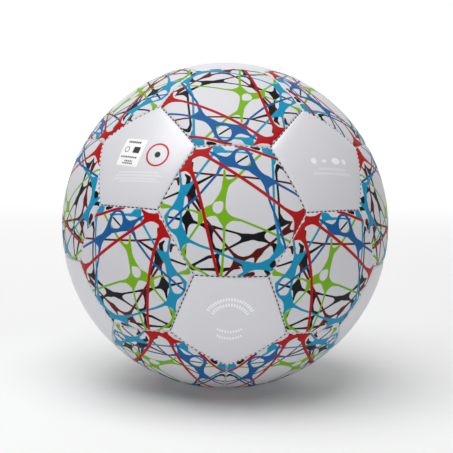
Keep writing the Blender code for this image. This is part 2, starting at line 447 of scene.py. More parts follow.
def finish_cover(start, colour, roughness, metallic):
    """The polyurethane coat over a printed or plain colour."""
    seam = start.node("Attribute", {"attribute_name": SEAM_LAYER}, {}, 2)
    cut_edge = ((CUT_EDGE_WIDTH - seam) * (CUT_EDGE_SHARPNESS / CUT_EDGE_WIDTH)).clamped()
    colour = colour.mixed(cut_edge, CUT_EDGE_COLOUR)
    place = start.node("TexCoord", {}, {}, 3)
    clouds = noise(start, place, CLOUD_SCALE, 3.0)
    dust = ((clouds - DUST_START) * DUST_STRENGTH).clamped()
    colour = colour.mixed(dust, DUST_COLOUR)
    grain = noise(start, place, GRAIN_SCALE, 2.0)
    weave = noise(start, place, GRAIN_SCALE / 4, 3.0)
    height = grain * GRAIN_SHARE + weave * (1 - GRAIN_SHARE)
    bump = {"Strength": GRAIN_STRENGTH, "Distance": GRAIN_DEPTH, "Height": height}
    relief = start.node("Bump", {}, bump)
    gloss = clouds * GLOSS_VARIATION + (roughness - GLOSS_VARIATION / 2)
    finish_shader(
        start,
        Base_Color=colour,
        Roughness=gloss,
        Metallic=metallic,
        Normal=relief,
        Specular_IOR_Level=COAT_SPECULAR,
    )


# %% [markdown]
# ## The printed web
#
# The hexagons carry a print of coloured strands that run together in thick knots, like stretched
# gum. A strand is a chain of points with a half width at each. The print is drawn as a field: each
# strand gives a bump that fades with the distance from it, the bumps of one colour are added, and
# the ink lies where their sum passes a level. Where strands meet, the sum fills their corners in
# with round fillets, which is just how the real print looks. Units are hundredths of a seam.

# %% The strands, from the bottom ink to the top one
BLACK = [
    [(-52.4, 61, 1.0), (-52.8, 54, 1.2)],
    [(-61, 45, 0.7), (-56, 40, 2.6), (-57, 32, 2.4)],
    [(-25, 42.5, 0.9), (-41, 34, 1.5), (-46, 32, 2.4), (-51, 26, 3.8), (-52, 20, 3.8)],
    [(-51, 19, 2.6), (-44.5, 11.7, 1.5), (-39, 0.7, 1.1)],
    [(-53, 19, 2.2), (-54.3, 10, 0.9), (-55.3, 0, 0.9), (-56.3, -11, 4.2)],
    [(-89.5, 14.5, 0.8), (-69, 21.4, 1.2)],
    [
        (-83, -9.5, 0.8), (-64, -13, 1.4), (-56.3, -12.5, 4.2), (-49, -15.5, 1.5), (-42, -17.4, 1.0),
        (-35, -19.5, 2.2), (-27.5, -24, 2.4),
    ],
    [(-56.5, -13, 3.6), (-57.5, -23, 1.6), (-57.5, -31, 0.8)],
    [
        (-27.5, -23, 2.0), (-22, -21.6, 0.9), (5, -28.4, 0.9), (12, -31, 1.6), (17, -33, 3.0),
        (33, -32.5, 3.0),
    ],
    [
        (-27, -26, 1.6), (-25, -40, 0.9), (-21.7, -48.4, 1.6), (-14, -51.6, 2.2), (-3, -46.3, 1.0),
        (10, -39, 1.3), (17, -34, 3.0),
    ],
    [(33, -32, 2.8), (41.3, -25.6, 1.0), (51, -21, 2.4), (62, -15, 3.4), (74.5, -13.5, 0.9)],
    [(34, -34, 2.4), (45.3, -39.8, 1.0), (54, -44, 3.0), (54.5, -56, 0.8)],
    [
        (62, -14, 3.2), (58.2, -3, 1.2), (57.5, 12, 1.1), (55.5, 40, 1.1), (55, 51, 1.5),
        (58.5, 59.5, 2.8), (64, 57.5, 1.5), (70, 53, 1.0),
    ],
    [(5.2, 60.4, 0.9), (18, 70, 0.9)],
    [(24, 84.5, 1.5), (29, 83.5, 2.4), (33, 82.8, 2.4)],
    [
        (-60, -73.6, 1.2), (-51, -76.7, 2.2), (-40, -76.7, 1.2), (-22.5, -75.9, 1.8),
        (-15.5, -77.5, 1.8), (-6.5, -75, 2.0), (10, -73, 0.9),
    ],
    [(-50.5, -71.5, 1.0), (-29.6, -59.4, 1.7), (-18.6, -57.8, 2.2), (-18.2, -64, 1.4), (-15.4, -78, 1.9)],
    [(-59.3, -48, 0.8), (-60.3, -58, 0.8)],
    [(53.1, -69.5, 4.6), (53.1, -67.5, 4.6)],
    [(43.7, -77.5, 1.3), (48.4, -81.4, 2.4), (49.2, -85.5, 1.8)],
]
DARK_RED = [
    [(-51, 47, 1.0), (-25, 43.3, 1.0), (80, 36.8, 1.0)],
    [
        (-59, 20, 1.3), (-38, -6, 1.2), (-10, -41, 1.2), (1, -54, 1.4), (7, -59, 1.9), (14, -61, 2.4),
        (22, -58, 1.5), (33, -52.5, 2.6),
    ],
    [(33, -52.5, 2.6), (46, -43, 1.6), (57, -34, 1.3), (67, -26, 2.6), (76, -13, 0.9)],
    [(67, -26, 2.4), (79, -25, 0.9)],
    [(33, -53, 2.2), (29, -66, 0.9)],
    [(5, -62, 2.0), (5, -68, 3.4), (-3, -78, 1.5), (-9, -86, 1.0)],
    [(6, -67, 2.6), (13, -68, 1.5), (17, -79, 1.1)],
    [(15, -86, 1.0), (22, -83, 2.4), (27, -82, 3.2)],
    [(-75.5, 40, 0.6), (-71, 40, 2.2), (-69.5, 32, 1.0)],
]
GREEN = [
    [
        (-11, 48.7, 1.1), (-10.7, 38, 1.2), (-9, 32, 2.8), (-10.7, 24, 3.4), (-13, 16.5, 3.2),
        (-20, 10.5, 1.5), (-24, 5.4, 1.3), (-30, -1.5, 3.4),
    ],
    [(-9, 32, 2.4), (-2, 35.5, 1.8), (4.4, 40, 1.2), (14, 51, 1.3), (34.5, 72.5, 1.4)],
    [(-13, 16, 2.6), (-10.3, 9, 0.9), (-10.5, 2, 1.0), (-10, -10.5, 4.6)],
    [
        (-30, -2.5, 3.4), (-20, -6.8, 1.0), (-10, -10.5, 4.6), (0, -11, 1.8), (10.7, -13, 1.0),
        (41, -24.5, 1.1), (77, -39.5, 1.1),
    ],
    [(-10, -11, 4.0), (-10.3, -20, 1.2), (-10.3, -40, 1.0), (-12, -70, 1.2), (-13.5, -85, 1.9)],
    [(-30, -3, 3.0), (-38.5, -11.5, 2.4), (-42, -19.5, 1.0), (-53.5, -36, 1.1)],
    [(-38.5, -11, 2.0), (-41, -4.5, 1.2), (-50, -1.5, 0.9), (-77, 3, 0.8), (-92, 5, 3.4), (-92, 9, 1.0)],
    [
        (-58, -45, 0.8), (-63.4, -54, 2.4), (-61, -62, 1.5), (-56, -69.6, 1.5), (-50, -75, 1.5),
        (-42, -78.3, 1.3), (-30, -85.5, 1.2),
    ],
]
TEAL = [
    [(-23, 82, 3.4), (-18, 79.5, 5.0), (-11, 76, 2.0), (-3, 75.8, 1.4), (10, 75.4, 0.9), (24, 74, 1.4)],
    [(-24, 75, 2.0), (-29, 68.5, 1.6)],
    [(-31, 63.6, 1.2), (-47.5, 39, 1.2), (-52, 32.5, 1.6), (-60, 25, 4.0)],
    [(-69, 48, 1.3), (-67.5, 40, 1.3), (-65, 32, 2.0), (-62, 26, 4.6), (-65, 16.5, 4.4), (-68, 6, 4.2)],
    [
        (-68, 6, 3.8), (-79, 0, 2.0), (-86.5, -9.5, 2.4), (-84.5, -20, 1.2), (-79, -26.5, 1.6),
        (-66, -31, 5.0),
    ],
    [(-68, 6, 3.8), (-65.5, 0, 1.8), (-65, -10, 1.2), (-65, -19, 1.6), (-65, -30, 5.0), (-62.5, -38, 4.4)],
    [
        (-62.5, -38, 4.0), (-53, -39.8, 1.7), (-40, -45.3, 1.3), (-27, -49.2, 1.1), (-10, -56.3, 1.2),
        (3, -61.5, 1.4), (15, -66, 1.9), (21, -71, 4.4),
    ],
    [(-64, -40, 3.0), (-66.3, -52, 1.0)],
    [(21, -71, 4.6), (30, -71.2, 4.2), (40, -70.4, 4.8), (50, -62.6, 2.8), (57, -56, 4.2), (62, -49, 4.8)],
    [
        (62, -49, 4.4), (60, -42, 2.4), (58, -32, 1.6), (55.5, -18.6, 1.5), (51.5, -5, 1.2),
        (50.8, 20, 1.2), (50.8, 42, 1.4), (51.2, 59.6, 1.5), (53, 66, 3.0), (53, 74, 4.0),
        (44, 81, 6.0),
    ],
    [(42, -71, 3.0), (50, -75.9, 2.2), (55, -77, 1.8)],
    [(20, -73, 3.6), (17.5, -79.5, 1.8), (9, -85, 1.3)],
]
BLUE = [
    [(-30.5, 76, 1.0), (-20, 69, 2.0), (-10, 62, 5.2), (-3, 62, 5.6)],
    [
        (-2, 64, 4.4), (0, 72, 2.2), (3, 77.5, 1.7), (7.5, 80.3, 1.5), (14, 80.3, 1.5),
        (18.7, 77, 1.7), (22, 71, 2.0), (25, 61, 2.6), (28, 51, 3.2),
    ],
    [(-3, 60, 4.6), (10, 53.5, 2.2), (20, 52.5, 3.0), (30, 47, 4.0), (43, 37, 4.2)],
    [(43, 37, 4.2), (54, 36, 1.6), (60, 33, 1.3), (90, 20.5, 1.3)],
    [(43, 37, 4.0), (41.5, 28, 1.9), (46, 10, 1.2), (55, -10, 1.2), (70.5, -49, 1.3)],
    [(-12, 58, 3.2), (-17, 51, 1.8), (-20, 44, 1.2), (-41, 18.5, 1.2), (-84, -20, 1.2)],
]
RED = [
    [(-55, 83, 0.8), (-47, 76, 4.2), (-37, 76, 4.2), (-27, 84.5, 0.8)],
    [(-38, 74, 3.4), (-28, 65, 1.8), (66, 3, 1.7), (80, -4, 3.6), (88, -8, 7.5)],
    [
        (-48, 73, 2.6), (-56.5, 68, 3.2), (-59, 57, 4.6), (-52, 46, 2.4), (-45, 29, 1.8),
        (-37, 1, 1.6), (-17, -87, 1.6),
    ],
    [(-59, 56, 4.0), (-69.5, 50, 1.2)],
    [(3, 84.5, 1.2), (12, 83.5, 1.6), (40, 74.3, 1.8), (63, 68.5, 1.5)],
    [(99, 5, 3.0), (88, -8, 7.5), (84, -20, 3.6), (81, -34, 1.4)],
]
INKS = [
    ("black", (0.004, 0.004, 0.006, 1), BLACK, []),
    ("dark red", (0.10, 0.003, 0.004, 1), DARK_RED, []),
    ("green", (0.18, 0.42, 0.006, 1), GREEN, [(-18.4, 2.4, 6.8, 7.6)]),
    ("teal", (0.006, 0.27, 0.46, 1), TEAL, [(-74.5, -12.3, 8.6, 12.6), (-62.2, 37.7, 3.4, 7.4)]),
    ("blue", (0.005, 0.10, 0.31, 1), BLUE, [(11.0, 67, 9.2, 11.2)]),
    ("red", (0.42, 0.003, 0.004, 1), RED, []),
]
HUNDREDTHS = 100.0
FADE = 0.45
INK_SHARPNESS = 3.0
INK_SPREAD = 0.35

# %% The field of one ink
def strand_height(place, strand):
    """The width of the strand less the distance from it, at the nearest of its runs."""
    highest = None
    for (x, y, width), (next_x, next_y, next_width) in zip(strand, strand[1:]):
        run = Vector((next_x - x, next_y - y, 0))
        offset = place.vector("SUBTRACT", (x, y, 0))
        share = offset.vector("DOT_PRODUCT", tuple(run / run.length_squared), output=1).clamped()
        nearest = place.node("VectorMath", {"operation": "SCALE"}, {0: tuple(run), 3: share})
        distance = offset.vector("SUBTRACT", nearest).vector("LENGTH", output=1)
        if width == next_width:
            height = distance.math("MULTIPLY_ADD", -FADE, FADE * width)
        else:
            taper = share.math("MULTIPLY_ADD", FADE * (next_width - width), FADE * width)
            height = distance.math("MULTIPLY_ADD", -FADE, taper)
        highest = height if highest is None else highest.math("MAXIMUM", height)
    return highest


def ink_mask(place, strands, holes):
    """1 where the ink of these strands lies, with round corners where they meet, and oval holes."""
    total = None
    for strand in strands:
        bump = strand_height(place, strand).math("EXPONENT")
        total = bump if total is None else total + bump
    level = total.math("LOGARITHM", math.e) * (1 / FADE)
    for x, y, half_width, half_height in holes:
        offset = place.vector("SUBTRACT", (x, y, 0))
        share = offset.vector("MULTIPLY", (1 / half_width, 1 / half_height, 0)).vector("LENGTH", output=1)
        smaller = min(half_width, half_height)
        level = level.math("MINIMUM", share.math("MULTIPLY_ADD", smaller, -smaller))
    return level.math("MULTIPLY_ADD", INK_SHARPNESS, 0.5 + INK_SHARPNESS * INK_SPREAD).clamped()


def printed_cover():
    material, start = new_shader("printed_cover")
    plane = start.node("UVMap", {"uv_map": PLANE_MAP})
    place = plane.scaled(HUNDREDTHS)
    colour = start.node("Mix", {"data_type": "RGBA"}, {0: 0.0, 6: COAT_COLOUR, 7: COAT_COLOUR}, 2)
    for _, ink, strands, holes in INKS:
        colour = colour.mixed(ink_mask(place, strands, holes), ink)
    finish_cover(start, colour, 0.48, 0.0)
    print(f"the printed cover has {len(material.node_tree.nodes)} nodes")
    return material


# %% [markdown]
# ## The marks on three pentagons
#
# Pentagons are plain silver. Three of them carry small marks: a stuck-on label with a red ring beside
# it, a row of pale spots over two faint rows, and two pairs of bows of dashes. They are kept generic:
# bars and dashes stand where words would be. Each mark is a distance field too, from which a mask is
# cut, and what a mark is made of decides which mask it needs: a box, a disc or a bow.

# %% Masks for marks
MARK_SOFTNESS = 0.45


class Plane:
    """A panel's plane in hundredths of a seam, as two number wires."""

    def __init__(self, start):
        self.start = start
        plane = start.node("UVMap", {"uv_map": PLANE_MAP}).scaled(HUNDREDTHS)
        parts = start.node("SeparateXYZ", {}, {0: plane})
        self.x = parts
        self.y = Wire(parts.tree, parts.socket.node.outputs[1])

    def moved(self, x, y, turn=0.0, lean=0.0):
        """Two wires measured from a point along turned axes. A lean skews them like slanted type."""
        cosine = math.cos(turn)
        sine = math.sin(turn)
        right = self.x - x
        rise = self.y - y
        across = right * cosine + rise * sine
        up = rise * cosine - right * sine
        return across + up * lean, up


def inside(distance):
    """A mask that is 1 where a distance in hundredths is under zero."""
    return distance.math("MULTIPLY_ADD", -1 / MARK_SOFTNESS, 0.5).clamped()


def box_mask(across, up, half_width, half_height, corner=0.0):
    over_x = across.math("ABSOLUTE").math("SUBTRACT", half_width - corner).math("MAXIMUM", 0.0)
    over_y = up.math("ABSOLUTE").math("SUBTRACT", half_height - corner).math("MAXIMUM", 0.0)
    if corner:
        squared = over_x * over_x + over_y * over_y
        return inside(squared.math("SQRT") - corner)
    return inside(over_x + over_y - 0.2)


def disc_distance(across, up, radius):
    squared = across * across + up * up
    return squared.math("SQRT") - radius


def dashes(along, pitch, share):
    """A mask of dashes along one direction, each a share of the pitch long."""
    phase = (along / pitch).math("FRACT")
    away = (phase - 0.5).math("ABSOLUTE")
    return inside((away - share / 2) * pitch)


# %% The label and the ring
LABEL_WHITE = (1.0, 1.0, 1.0, 1)
LABEL_GREY = (0.05, 0.05, 0.055, 1)
RING_RED = (0.55, 0.02, 0.02, 1)
PALE_MARK = (1.0, 1.0, 1.0, 1)
FAINT_MARK = (0.90, 0.90, 0.92, 1)


def label_marks(plane, colour):
    across, up = plane.moved(-10.3, 5.8, turn=math.radians(-4), lean=-0.06)
    border = box_mask(across, up, 17.9, 19.4, 1.8)
    colour = colour.mixed(border, FAINT_MARK)
    colour = colour.mixed(box_mask(across, up, 17.4, 18.9, 1.6), LABEL_WHITE)
    bars = [(-1.0, 14.5, 10.5, 1.3), (-1.0, -7.0, 13.5, 0.9), (1.0, -12.5, 6.5, 0.8), (0.5, -15.6, 8.5, 0.8)]
    for centre, height, half_length, half_height in bars:
        bar = box_mask(across - centre, up - height, half_length, half_height)
        colour = colour.mixed(bar * dashes(across, 3.1, 0.78), LABEL_GREY)
    spot = inside(disc_distance(across + 9.0, up - 3.5, 3.6).math("ABSOLUTE") - 0.5)
    colour = colour.mixed(spot, LABEL_GREY)
    block = box_mask(across - 7.0, up - 3.8, 5.2, 4.4, 1.0)
    colour = colour.mixed(block, LABEL_GREY)
    right, rise = plane.moved(31.2, 4.9)
    middle = disc_distance(right, rise, 15.2)
    dot = inside(disc_distance(right, rise, 4.2))
    colour = colour.mixed(dot, LABEL_GREY)
    colour = colour.mixed(inside(middle.math("ABSOLUTE") - 1.25), RING_RED)
    rows = [(9.0, -21.0, 31.0), (9.8, -25.2, 36.0), (5.0, -29.8, 33.0), (14.0, -32.8, 31.5)]
    for centre, height, half_length in rows:
        across, up = plane.moved(centre, height, turn=math.radians(2.6))
        bar = box_mask(across, up, half_length, 0.9) * dashes(across, 2.6, 0.7)
        colour = colour.mixed(bar * 0.7, FAINT_MARK)
    return colour


# %% The row of spots
def spot_marks(plane, colour):
    spots = [(-22.2, 0.0, 4.3, 4.3), (-5.6, -0.9, 3.6, 2.3), (15.0, -1.0, 7.6, 4.6), (30.9, -2.0, 3.6, 4.2)]
    for x, y, half_width, half_height in spots:
        across, up = plane.moved(x, y)
        stretched = disc_distance(across, up * (half_width / half_height), half_width)
        colour = colour.mixed(inside(stretched) * 0.9, PALE_MARK)
    for centre, height, half_length in [(5.3, -12.2, 23.4), (5.6, -18.6, 33.0)]:
        across, up = plane.moved(centre, height, turn=math.radians(-3))
        bar = box_mask(across, up, half_length, 1.5) * dashes(across, 3.0, 0.72)
        colour = colour.mixed(bar * 0.75, FAINT_MARK)
    return colour


# %% The bows of dashes
BOW_SPREAD = math.radians(66)
SMILE_SPREAD = math.radians(35)


def bow_marks(plane, colour):
    bows = [(5.4, 31.8, 1.0, BOW_SPREAD, 2.3), (4.2, 25.0, 1.0, BOW_SPREAD, 2.3)]
    bows += [(15.2, 27.6, -1.0, SMILE_SPREAD, 2.0), (4.4, 28.0, -1.0, SMILE_SPREAD, 2.0)]
    for height, radius, side, spread, half_height in bows:
        right, rise = plane.moved(0.0, height)
        squared = right * right + rise * rise
        band = inside((squared.math("SQRT") - radius).math("ABSOLUTE") - half_height)
        turn = right.math("ARCTAN2", rise * side)
        ends = inside((turn.math("ABSOLUTE") - spread) * radius)
        marks = dashes(turn * radius, 3.6, 0.6)
        colour = colour.mixed(band * ends * marks * 0.9, PALE_MARK)
    return colour


# %% The silver covers
SILVER_COLOUR = (0.73, 0.73, 0.77, 1)


def silver_cover(name, marks=None):
    material, start = new_shader(name)
    colour = start.node("Mix", {"data_type": "RGBA"}, {0: 0.0, 6: SILVER_COLOUR, 7: SILVER_COLOUR}, 2)
    if marks:
        colour = marks(Plane(start), colour)
    finish_cover(start, colour, 0.42, 0.15)
    print(f"{name} has {len(material.node_tree.nodes)} nodes")
    return material


PRINTED = printed_cover()
SILVER = silver_cover("silver_cover")
SILVER_MARKED = {
    2: silver_cover("silver_cover_with_spots", spot_marks),
    6: silver_cover("silver_cover_with_label", label_marks),
    7: silver_cover("silver_cover_with_bows", bow_marks),
}

# %% [markdown]
# ## Placing the thirty-two panels
#
# The frame's names number the panels from the top down. Each face of the cage goes with the solid
# in its direction. The printed sheet was cut in two mirrored versions, and each hexagon was sewn in
# at its own turn, so a table holds the turn in sixths and whether the print is mirrored.

# %% The panels
PRINT_TURNS = {
    1: (3, False), 2: (1, True), 3: (3, False), 4: (1, True), 5: (3, False),
    6: (0, False), 7: (-1, True), 8: (2, False), 9: (0, True), 10: (1, False),
    11: (0, False), 12: (0, True), 13: (2, False), 14: (0, False), 15: (0, True),
    16: (1, True), 17: (-1, False), 18: (1, True), 19: (3, False), 20: (-1, False),
}
VALVE_PANEL = "pentagon_panel_01"
node_directions = {name: middle_of_node(name).normalized() for name in panel_nodes}
triangles = 0
for face in cage.faces:
    outward = face.calc_center_median().normalized()
    node = max(panel_nodes, key=lambda name: node_directions[name].dot(outward))
    number = int(node[-2:])
    if len(face.verts) == 6:
        turn, mirrored = PRINT_TURNS[number]
        shape = make_panel(face, turn * math.pi / 3, mirrored, False)
        piece = make_piece(f"hexagon_cover_{number:02}", shape, PRINTED, "ball", "printed_cover", node)
    else:
        shape = make_panel(face, 0.0, False, node == VALVE_PANEL)
        material = SILVER_MARKED.get(number, SILVER)
        piece = make_piece(f"pentagon_cover_{number:02}", shape, material, "ball", "silver_cover", node)
    triangles += sum(len(polygon.vertices) - 2 for polygon in piece.data.polygons)
print(f"32 panels, {triangles} triangles")

# %% [markdown]
# ## The stitches
#
# Waxed polyester thread joins the panels from the inside. From outside it shows only where each
# stitch crosses the seam, as a short dark dash in its hole. The thread's near-black is partly its own
# colour and partly painted shade, which stands for the shadow in the stitch hole. Each dash is a small
# sphere drawn out along the seam whose two ends dive between the panels, a few dozen faces, for there
# are 1,260. The seams between two hexagons are drawn tighter, so their stitches lie deeper.

# %% The finish of the thread
# The thread's near-black is partly painted shade: it darkens the dash to stand for the shadow in the stitch
# hole.
THREAD_BLACK_WITH_HOLE_SHADE = (0.008, 0.008, 0.009, 1)
WORN_FIBRE_BLACK_WITH_HOLE_SHADE = (0.035, 0.035, 0.038, 1)


def thread_finish():
    material, start = new_shader("sewing_thread")
    place = start.node("TexCoord", {}, {}, 3)
    fibres = noise(start, place, 5200.0, 3.0)
    colour = start.node(
        "Mix", {"data_type": "RGBA"}, {0: fibres, 6: THREAD_BLACK_WITH_HOLE_SHADE, 7: WORN_FIBRE_BLACK_WITH_HOLE_SHADE}, 2
    )
    relief = start.node("Bump", {}, {"Strength": 0.6, "Distance": 0.00008, "Height": fibres})
    finish_shader(start, Base_Color=colour, Roughness=fibres * 0.2 + 0.5, Normal=relief, Sheen_Weight=0.1)
    return material


# %% The dashes
THREAD_RADIUS = 0.36 * MILLIMETRE
STITCH_LENGTH = 2.0 * MILLIMETRE
STITCH_DEPTH = 1.02 * MILLIMETRE
TIGHT_STITCH_DEPTH = 1.48 * MILLIMETRE
STITCH_DIVE = 0.35 * MILLIMETRE
stitch_nodes = [name for name in frame["nodes"] if name.startswith("stitching")]
THREAD = thread_finish()


def add_stitch(shape, centre, along, outward):
    """One dash with its middle at a height over the seam and its ends lower."""
    made = bmesh.ops.create_uvsphere(shape, u_segments=8, v_segments=6, radius=1.0)["verts"]
    sideways = outward.cross(along)
    for corner in made:
        lengthwise = corner.co.z
        dive = STITCH_DIVE * lengthwise**2
        corner.co = (
            centre
            + along * (lengthwise * STITCH_LENGTH / 2)
            + sideways * (corner.co.x * THREAD_RADIUS)
            + outward * (corner.co.y * THREAD_RADIUS - dive)
        )


threads = [bmesh.new() for _ in stitch_nodes]
corners_of = [frame["nodes"][name].data.vertices for name in stitch_nodes]
solid_points = kdtree.KDTree(sum(len(corners) for corners in corners_of))
for number, corners in enumerate(corners_of):
    for corner in corners:
        solid_points.insert(corner.co, number)
solid_points.balance()
for seam in cage.edges:
    start_corner, end_corner = [end.co for end in seam.verts]
    halfway = ((start_corner + end_corner) / 2).normalized() * BALL_RADIUS
    thread = threads[solid_points.find(halfway)[1]]
    tight = all(len(face.verts) == 6 for face in seam.link_faces)
    depth = TIGHT_STITCH_DEPTH if tight else STITCH_DEPTH
    for stitch in range(STITCHES):
        flat_point = start_corner.lerp(end_corner, (stitch + 0.5) / STITCHES)
        outward = flat_point.normalized()
        along = (end_corner - start_corner).normalized()
        along = (along - outward * along.dot(outward)).normalized()
        add_stitch(thread, outward * (BALL_RADIUS - depth), along, outward)
for name, shape in zip(stitch_nodes, threads):
    bmesh.ops.recalc_face_normals(shape, faces=shape.faces[:])
    make_piece("sewn_" + name, shape, THREAD, "ball", "thread", name)
print(f"{len(cage.edges) * STITCHES} stitches in {len(threads)} threads")

# %% [markdown]
# ## The valve, its patch and the bladder
#
# Under the top panel a cloth patch carries a rubber valve, and a pull-out core plugs it. Round the
# inside lies the bladder. All four are turned: a closed outline, with its corners softened on all but
# the bladder, is spun about the upright axis. The core is the one piece that slides, so it rides on
# the plug's body.

# %% Turning an outline
TURN_STEPS = 64
BALL_STEPS = 44


def softened(outline, radius):
    """The closed outline with each corner cut by a small curve."""
    points = [Vector((across, 0, height)) for across, height in outline]
    soft = []
    for before, corner, after in zip(points[-1:] + points[:-1], points, points[1:] + points[:1]):
        cut = min(radius, (before - corner).length / 2.2, (after - corner).length / 2.2)
        start_point = corner + (before - corner).normalized() * cut
        end_point = corner + (after - corner).normalized() * cut
        for step in range(4):
            share = step / 3
            soft.append(start_point.lerp(corner, share).lerp(corner.lerp(end_point, share), share))
    return soft


def dome(radius, first, last, steps):
    """Points of a circle round the ball's middle, from one distance off the axis to another."""
    turns = [math.asin(first / radius), math.asin(last / radius)]
    return [
        (radius * math.sin(turn), radius * math.cos(turn))
        for turn in [turns[0] + (turns[1] - turns[0]) * step / steps for step in range(steps + 1)]
    ]


def turned(points):
    """Spins a closed outline about Z into a closed shape."""
    shape = bmesh.new()
    corners = [shape.verts.new(point) for point in points]
    edges = [shape.edges.new(pair) for pair in zip(corners, corners[1:] + corners[:1])]
    bmesh.ops.spin(
        shape,
        geom=corners + edges,
        cent=(0, 0, 0),
        axis=(0, 0, 1),
        angle=math.tau,
        steps=TURN_STEPS,
        use_merge=True,
    )
    bmesh.ops.remove_doubles(shape, verts=shape.verts[:], dist=MILLIMETRE / 1000)
    loose = [edge for edge in shape.edges if not edge.link_faces]
    bmesh.ops.delete(shape, geom=loose, context="EDGES")
    bmesh.ops.recalc_face_normals(shape, faces=shape.faces[:])
    return shape


# %% Their finishes
def rubber_finish(name, dark, light, roughness, scale):
    """Moulded rubber: cloudy, with a fine pebble, and duller where it is paler."""
    material, start = new_shader(name)
    place = start.node("TexCoord", {}, {}, 3)
    bloom = noise(start, place, scale, 4.0, 0.6)
    colour = start.node("Mix", {"data_type": "RGBA"}, {0: bloom, 6: dark, 7: light}, 2)
    pebble = noise(start, place, scale * 16, 2.0)
    relief = start.node("Bump", {}, {"Strength": 0.35, "Distance": 0.0001, "Height": pebble})
    gloss = bloom * 0.25 + (roughness - 0.1)
    finish_shader(start, Base_Color=colour, Roughness=gloss, Normal=relief, Specular_IOR_Level=0.35)
    return material


def cloth_finish():
    """Plain-woven cotton: two crossing sets of threads."""
    material, start = new_shader("patch_cloth")
    place = start.node("TexCoord", {}, {}, 3)
    across = start.node(
        "TexWave", {"bands_direction": "X"}, {"Vector": place, "Scale": 420.0, "Distortion": 0.4}, 1
    )
    along = start.node(
        "TexWave", {"bands_direction": "Y"}, {"Vector": place, "Scale": 420.0, "Distortion": 0.4}, 1
    )
    weave = across * along
    soil = noise(start, place, 90.0, 4.0)
    shade = (weave * 0.6 + soil * 0.4).clamped()
    colour = start.node(
        "Mix", {"data_type": "RGBA"}, {0: shade, 6: (0.40, 0.37, 0.31, 1), 7: (0.66, 0.62, 0.53, 1)}, 2
    )
    relief = start.node("Bump", {}, {"Strength": 0.8, "Distance": 0.0002, "Height": weave})
    finish_shader(start, Base_Color=colour, Roughness=soil * 0.1 + 0.85, Normal=relief)
    return material


# %% The four turned pieces
def at_depth(depth):
    return BALL_RADIUS - depth * MILLIMETRE


BLADDER = at_depth(6.83)
BLADDER_WALL = 1.2 * MILLIMETRE
PATCH_TOP = at_depth(3.23)
PATCH_RADIUS = 14.0 * MILLIMETRE
PATCH_THICKNESS = 0.7 * MILLIMETRE
FLANGE_TOP = at_depth(4.23)
FLANGE_BOTTOM = at_depth(6.53)
FLANGE_RADIUS = 11.5 * MILLIMETRE
NECK_RADIUS = 4.6 * MILLIMETRE
STEM_RADIUS = 6.0 * MILLIMETRE
STEM_OPENING = 6.2 * MILLIMETRE
VALVE_TOP = at_depth(0.73)
VALVE_BOTTOM = at_depth(22.23)
COUNTERBORE = 3.6 * MILLIMETRE
BORE = 2.6 * MILLIMETRE
HEAD_SEAT = at_depth(2.93)
CORE_TOP = at_depth(1.03)
CORE_SHOULDER = at_depth(2.63)
CORE_BOTTOM = at_depth(19.03)
HEAD_RADIUS = 3.4 * MILLIMETRE
SHAFT_RADIUS = 2.4 * MILLIMETRE
NEEDLE_BORE = 0.6 * MILLIMETRE
DIMPLE_RADIUS = 1.7 * MILLIMETRE
DIMPLE_DEPTH = 0.9 * MILLIMETRE
CHAMFER = 0.9 * MILLIMETRE


def bladder_outline():
    """The wall from its opening round to the pole below, and back up its inside."""
    outside = []
    inside_wall = []
    for radius, points in ((BLADDER, outside), (BLADDER - BLADDER_WALL, inside_wall)):
        first = math.asin(STEM_OPENING / radius)
        for step in range(BALL_STEPS + 1):
            turn = first + (math.pi - first) * step / BALL_STEPS
            across = radius * math.sin(turn) if step < BALL_STEPS else 0.0
            points.append(Vector((across, 0, radius * math.cos(turn))))
    return outside + inside_wall[::-1]


def valve_outline():
    outline = [(COUNTERBORE, VALVE_TOP - 0.3 * MILLIMETRE), (COUNTERBORE + 0.3 * MILLIMETRE, VALVE_TOP)]
    outline += [(NECK_RADIUS, VALVE_TOP)]
    outline += dome(FLANGE_TOP, NECK_RADIUS, FLANGE_RADIUS, 3)
    outline += dome(FLANGE_BOTTOM, FLANGE_RADIUS, STEM_RADIUS, 3)
    outline += [(STEM_RADIUS, VALVE_BOTTOM + CHAMFER), (STEM_RADIUS - CHAMFER, VALVE_BOTTOM)]
    outline += [(BORE, VALVE_BOTTOM), (BORE, HEAD_SEAT), (COUNTERBORE, HEAD_SEAT)]
    return softened(outline, 0.25 * MILLIMETRE)


def core_outline():
    """A shouldered plug with a dimple that leads the pump's needle in, and three grip rings."""
    outline = [(NEEDLE_BORE, CORE_TOP - DIMPLE_DEPTH), (DIMPLE_RADIUS, CORE_TOP), (HEAD_RADIUS, CORE_TOP)]
    outline += [(HEAD_RADIUS, CORE_SHOULDER), (SHAFT_RADIUS, CORE_SHOULDER)]
    for ring in range(3):
        height = CORE_SHOULDER - (4.0 + 4.0 * ring) * MILLIMETRE
        groove = SHAFT_RADIUS - 0.25 * MILLIMETRE
        half = 0.5 * MILLIMETRE
        outline += [(SHAFT_RADIUS, height + half), (groove, height + half * 0.6)]
        outline += [(groove, height - half * 0.6), (SHAFT_RADIUS, height - half)]
    outline += [(SHAFT_RADIUS, CORE_BOTTOM + CHAMFER), (SHAFT_RADIUS - CHAMFER, CORE_BOTTOM)]
    outline += [(NEEDLE_BORE, CORE_BOTTOM)]
    return softened(outline, 0.2 * MILLIMETRE)


